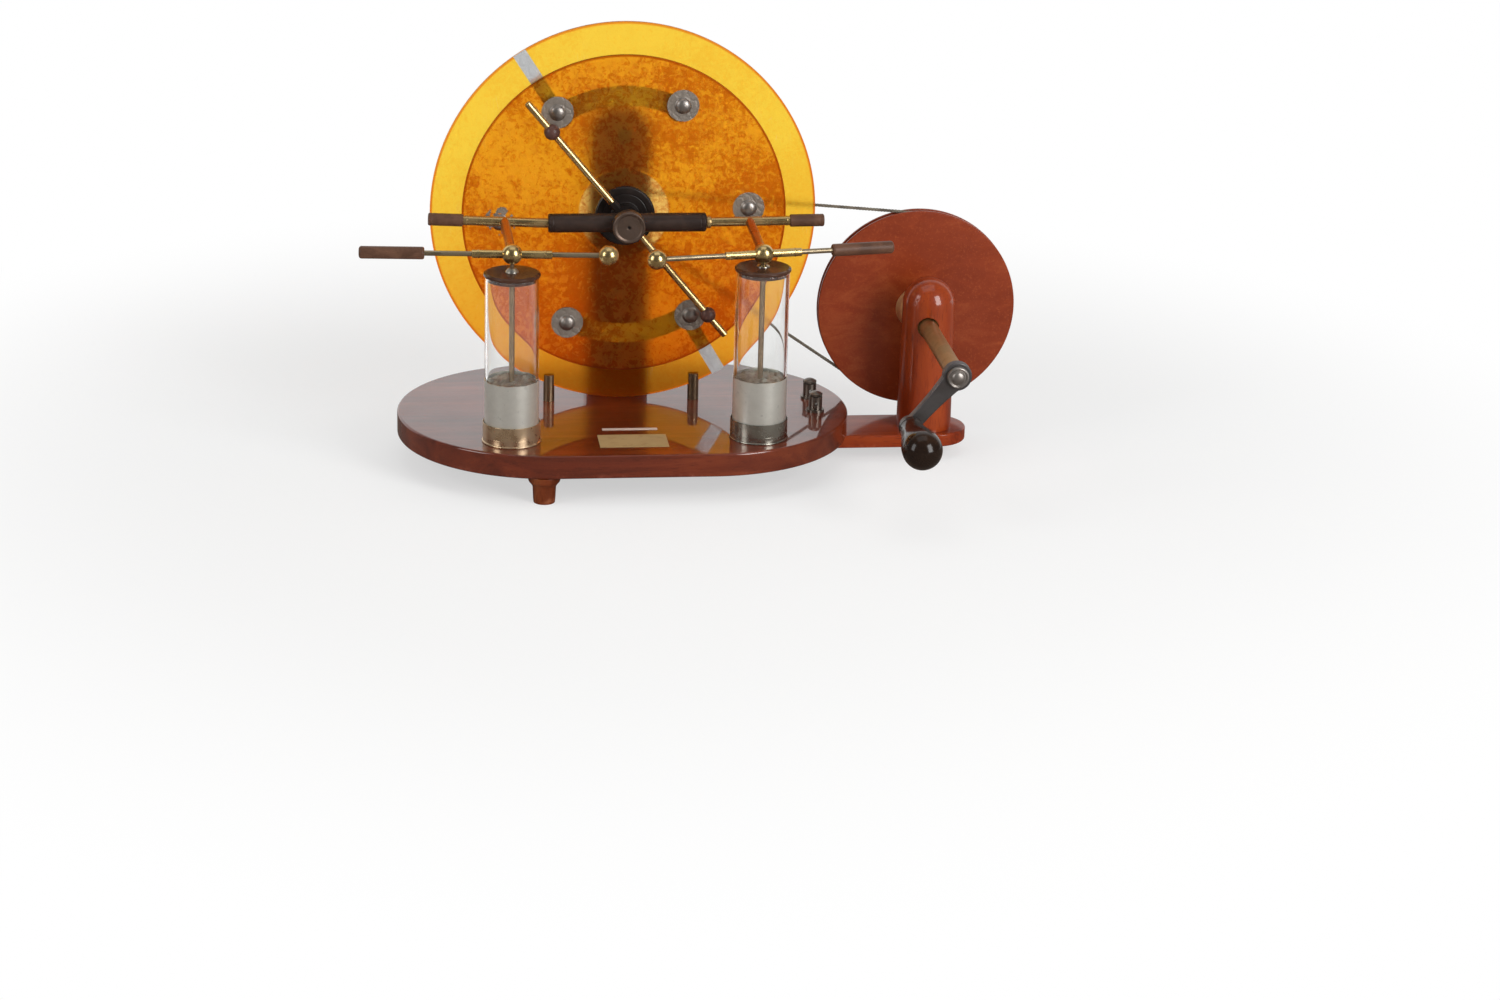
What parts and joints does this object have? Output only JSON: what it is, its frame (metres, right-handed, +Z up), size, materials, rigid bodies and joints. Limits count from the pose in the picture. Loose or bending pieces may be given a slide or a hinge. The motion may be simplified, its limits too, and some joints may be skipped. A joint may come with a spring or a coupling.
{
  "type": "electrostatic influence machine",
  "caption": "Hand-cranked electrostatic influence machine: amber fixed plate, belt-driven disc with foil carriers, combs, condenser jars and sliding discharge rods on a wooden base.",
  "frame": {"origin": "middle of the bounding box, on the plane that the feet stand on", "axes": "+X to the operator's right, towards the drive wheel; +Y away from the operator; +Z up"},
  "size_m": [0.6272, 0.394, 0.411],
  "materials": {
    "mahogany": "french-polished dark red-brown hardwood with fine grain",
    "red_wood": "polished orange-red hardwood",
    "amber_plate": "shellac-varnished amber glass, finely pebbled",
    "amber_disc": "shellac-varnished orange-amber glass, mottled with age",
    "clear_glass": "clear blown glass",
    "brass": "polished, lightly aged",
    "aged_brass": "tarnished brown",
    "ebonite": "hard rubber browned by light",
    "black_ebonite": "polished black hard rubber",
    "steel": "dark oxidised steel",
    "nickel": "worn nickel plate",
    "tinfoil": "matt hand-smoothed tinfoil",
    "card": "bare cream card",
    "white_paper": "bare paper strip",
    "cord": "twisted grey-brown cord"
  },
  "bodies": {
    "frame": {"base_board": "mahogany", "crank_plank": "red_wood", "feet": "red_wood", "base_screws": "steel", "rear_upright": "mahogany", "spindle": "steel", "plate_pegs": "aged_brass", "fixed_plate": "amber_plate", "inductors": "tinfoil", "plate_stay": "ebonite", "crossbar": "black_ebonite", "comb_rod_left": "brass", "comb_rod_right": "brass", "comb_sleeves": "ebonite", "comb_arms": "brass", "end_knob": "ebonite", "jar_glass_left": "clear_glass", "jar_glass_right": "clear_glass", "jar_cup_left": "brass", "jar_cup_right": "steel", "outer_foils": "tinfoil", "inner_foils": "tinfoil", "jar_lids": "ebonite", "jar_rods": "aged_brass", "lid_nuts": "brass", "jar_bolts": "nickel", "terminal_posts": "nickel", "name_plate": "card", "paper_strip": "white_paper", "wheel_column": "red_wood", "column_bushes": "brass", "drive_belt": "cord"},
    "disc": {"rotating_disc": "amber_disc", "disc_hub": "black_ebonite", "hub_nut": "black_ebonite", "pulley": "red_wood", "carrier_foils": "tinfoil", "carrier_studs": "nickel"},
    "crank": {"drive_wheel": "mahogany", "wheel_hub": "brass", "wheel_nut": "brass", "crank_shaft": "aged_brass", "crank_arm": "steel", "crank_nut": "nickel", "handle_pin": "steel"},
    "handle": {"crank_handle": "black_ebonite"},
    "neutraliser": {"neutral_collar": "black_ebonite", "neutral_rod": "brass", "neutral_balls": "ebonite", "neutral_brushes": "brass"},
    "swivel_left": {"swivel_tube_left": "brass"},
    "swivel_right": {"swivel_tube_right": "brass"},
    "rod_left": {"discharge_rod_left": "steel", "spark_ball_left": "brass", "discharge_grip_left": "ebonite"},
    "rod_right": {"discharge_rod_right": "steel", "spark_ball_right": "brass", "discharge_grip_right": "ebonite"},
    "thumb_front": {"terminal_screw_front": "nickel"},
    "thumb_back": {"terminal_screw_back": "nickel"}
  },
  "joints": [
    {"name": "disc_spin", "type": "hinge", "parent": "frame", "child": "disc", "pos_m": [-0.06584, 0.08, 0.231], "axis": [0, 1, 0], "continuous": true},
    {"name": "crank_turn", "type": "hinge", "parent": "frame", "child": "crank", "pos_m": [0.21866, 0.06, 0.129], "axis": [0, 1, 0], "continuous": true},
    {"name": "handle_spin", "type": "hinge", "parent": "crank", "child": "handle", "pos_m": [0.17765, -0.157, 0.08183], "axis": [0, 1, 0], "continuous": true},
    {"name": "neutraliser_turn", "type": "hinge", "parent": "frame", "child": "neutraliser", "pos_m": [-0.06584, 0.08, 0.231], "axis": [0, 1, 0], "range_deg": [-20, 20]},
    {"name": "swing_left", "type": "hinge", "parent": "frame", "child": "swivel_left", "pos_m": [-0.17664, -0.034, 0.2238], "axis": [0, 0, 1], "range_deg": [-20, 20]},
    {"name": "swing_right", "type": "hinge", "parent": "frame", "child": "swivel_right", "pos_m": [0.05076, -0.034, 0.2222], "axis": [0, 0, 1], "range_deg": [-20, 20]},
    {"name": "slide_left", "type": "slide", "parent": "swivel_left", "child": "rod_left", "axis": [-0.9968, 0.0802, 0], "range_m": [-0.0105, 0.04]},
    {"name": "slide_right", "type": "slide", "parent": "swivel_right", "child": "rod_right", "axis": [0.9871, 0.1599, 0], "range_m": [-0.0105, 0.05]},
    {"name": "thumb_front_turn", "type": "hinge", "parent": "frame", "child": "thumb_front", "pos_m": [0.11416, 0.039, 0.063], "axis": [0, 0, 1], "range_deg": [-180, 180]},
    {"name": "thumb_back_turn", "type": "hinge", "parent": "frame", "child": "thumb_back", "pos_m": [0.11416, 0.079, 0.063], "axis": [0, 0, 1], "range_deg": [-180, 180]}
  ],
  "couplings": [
    {"joint": "crank_turn", "follows": "disc_spin", "ratio": 0.15301}
  ]
}
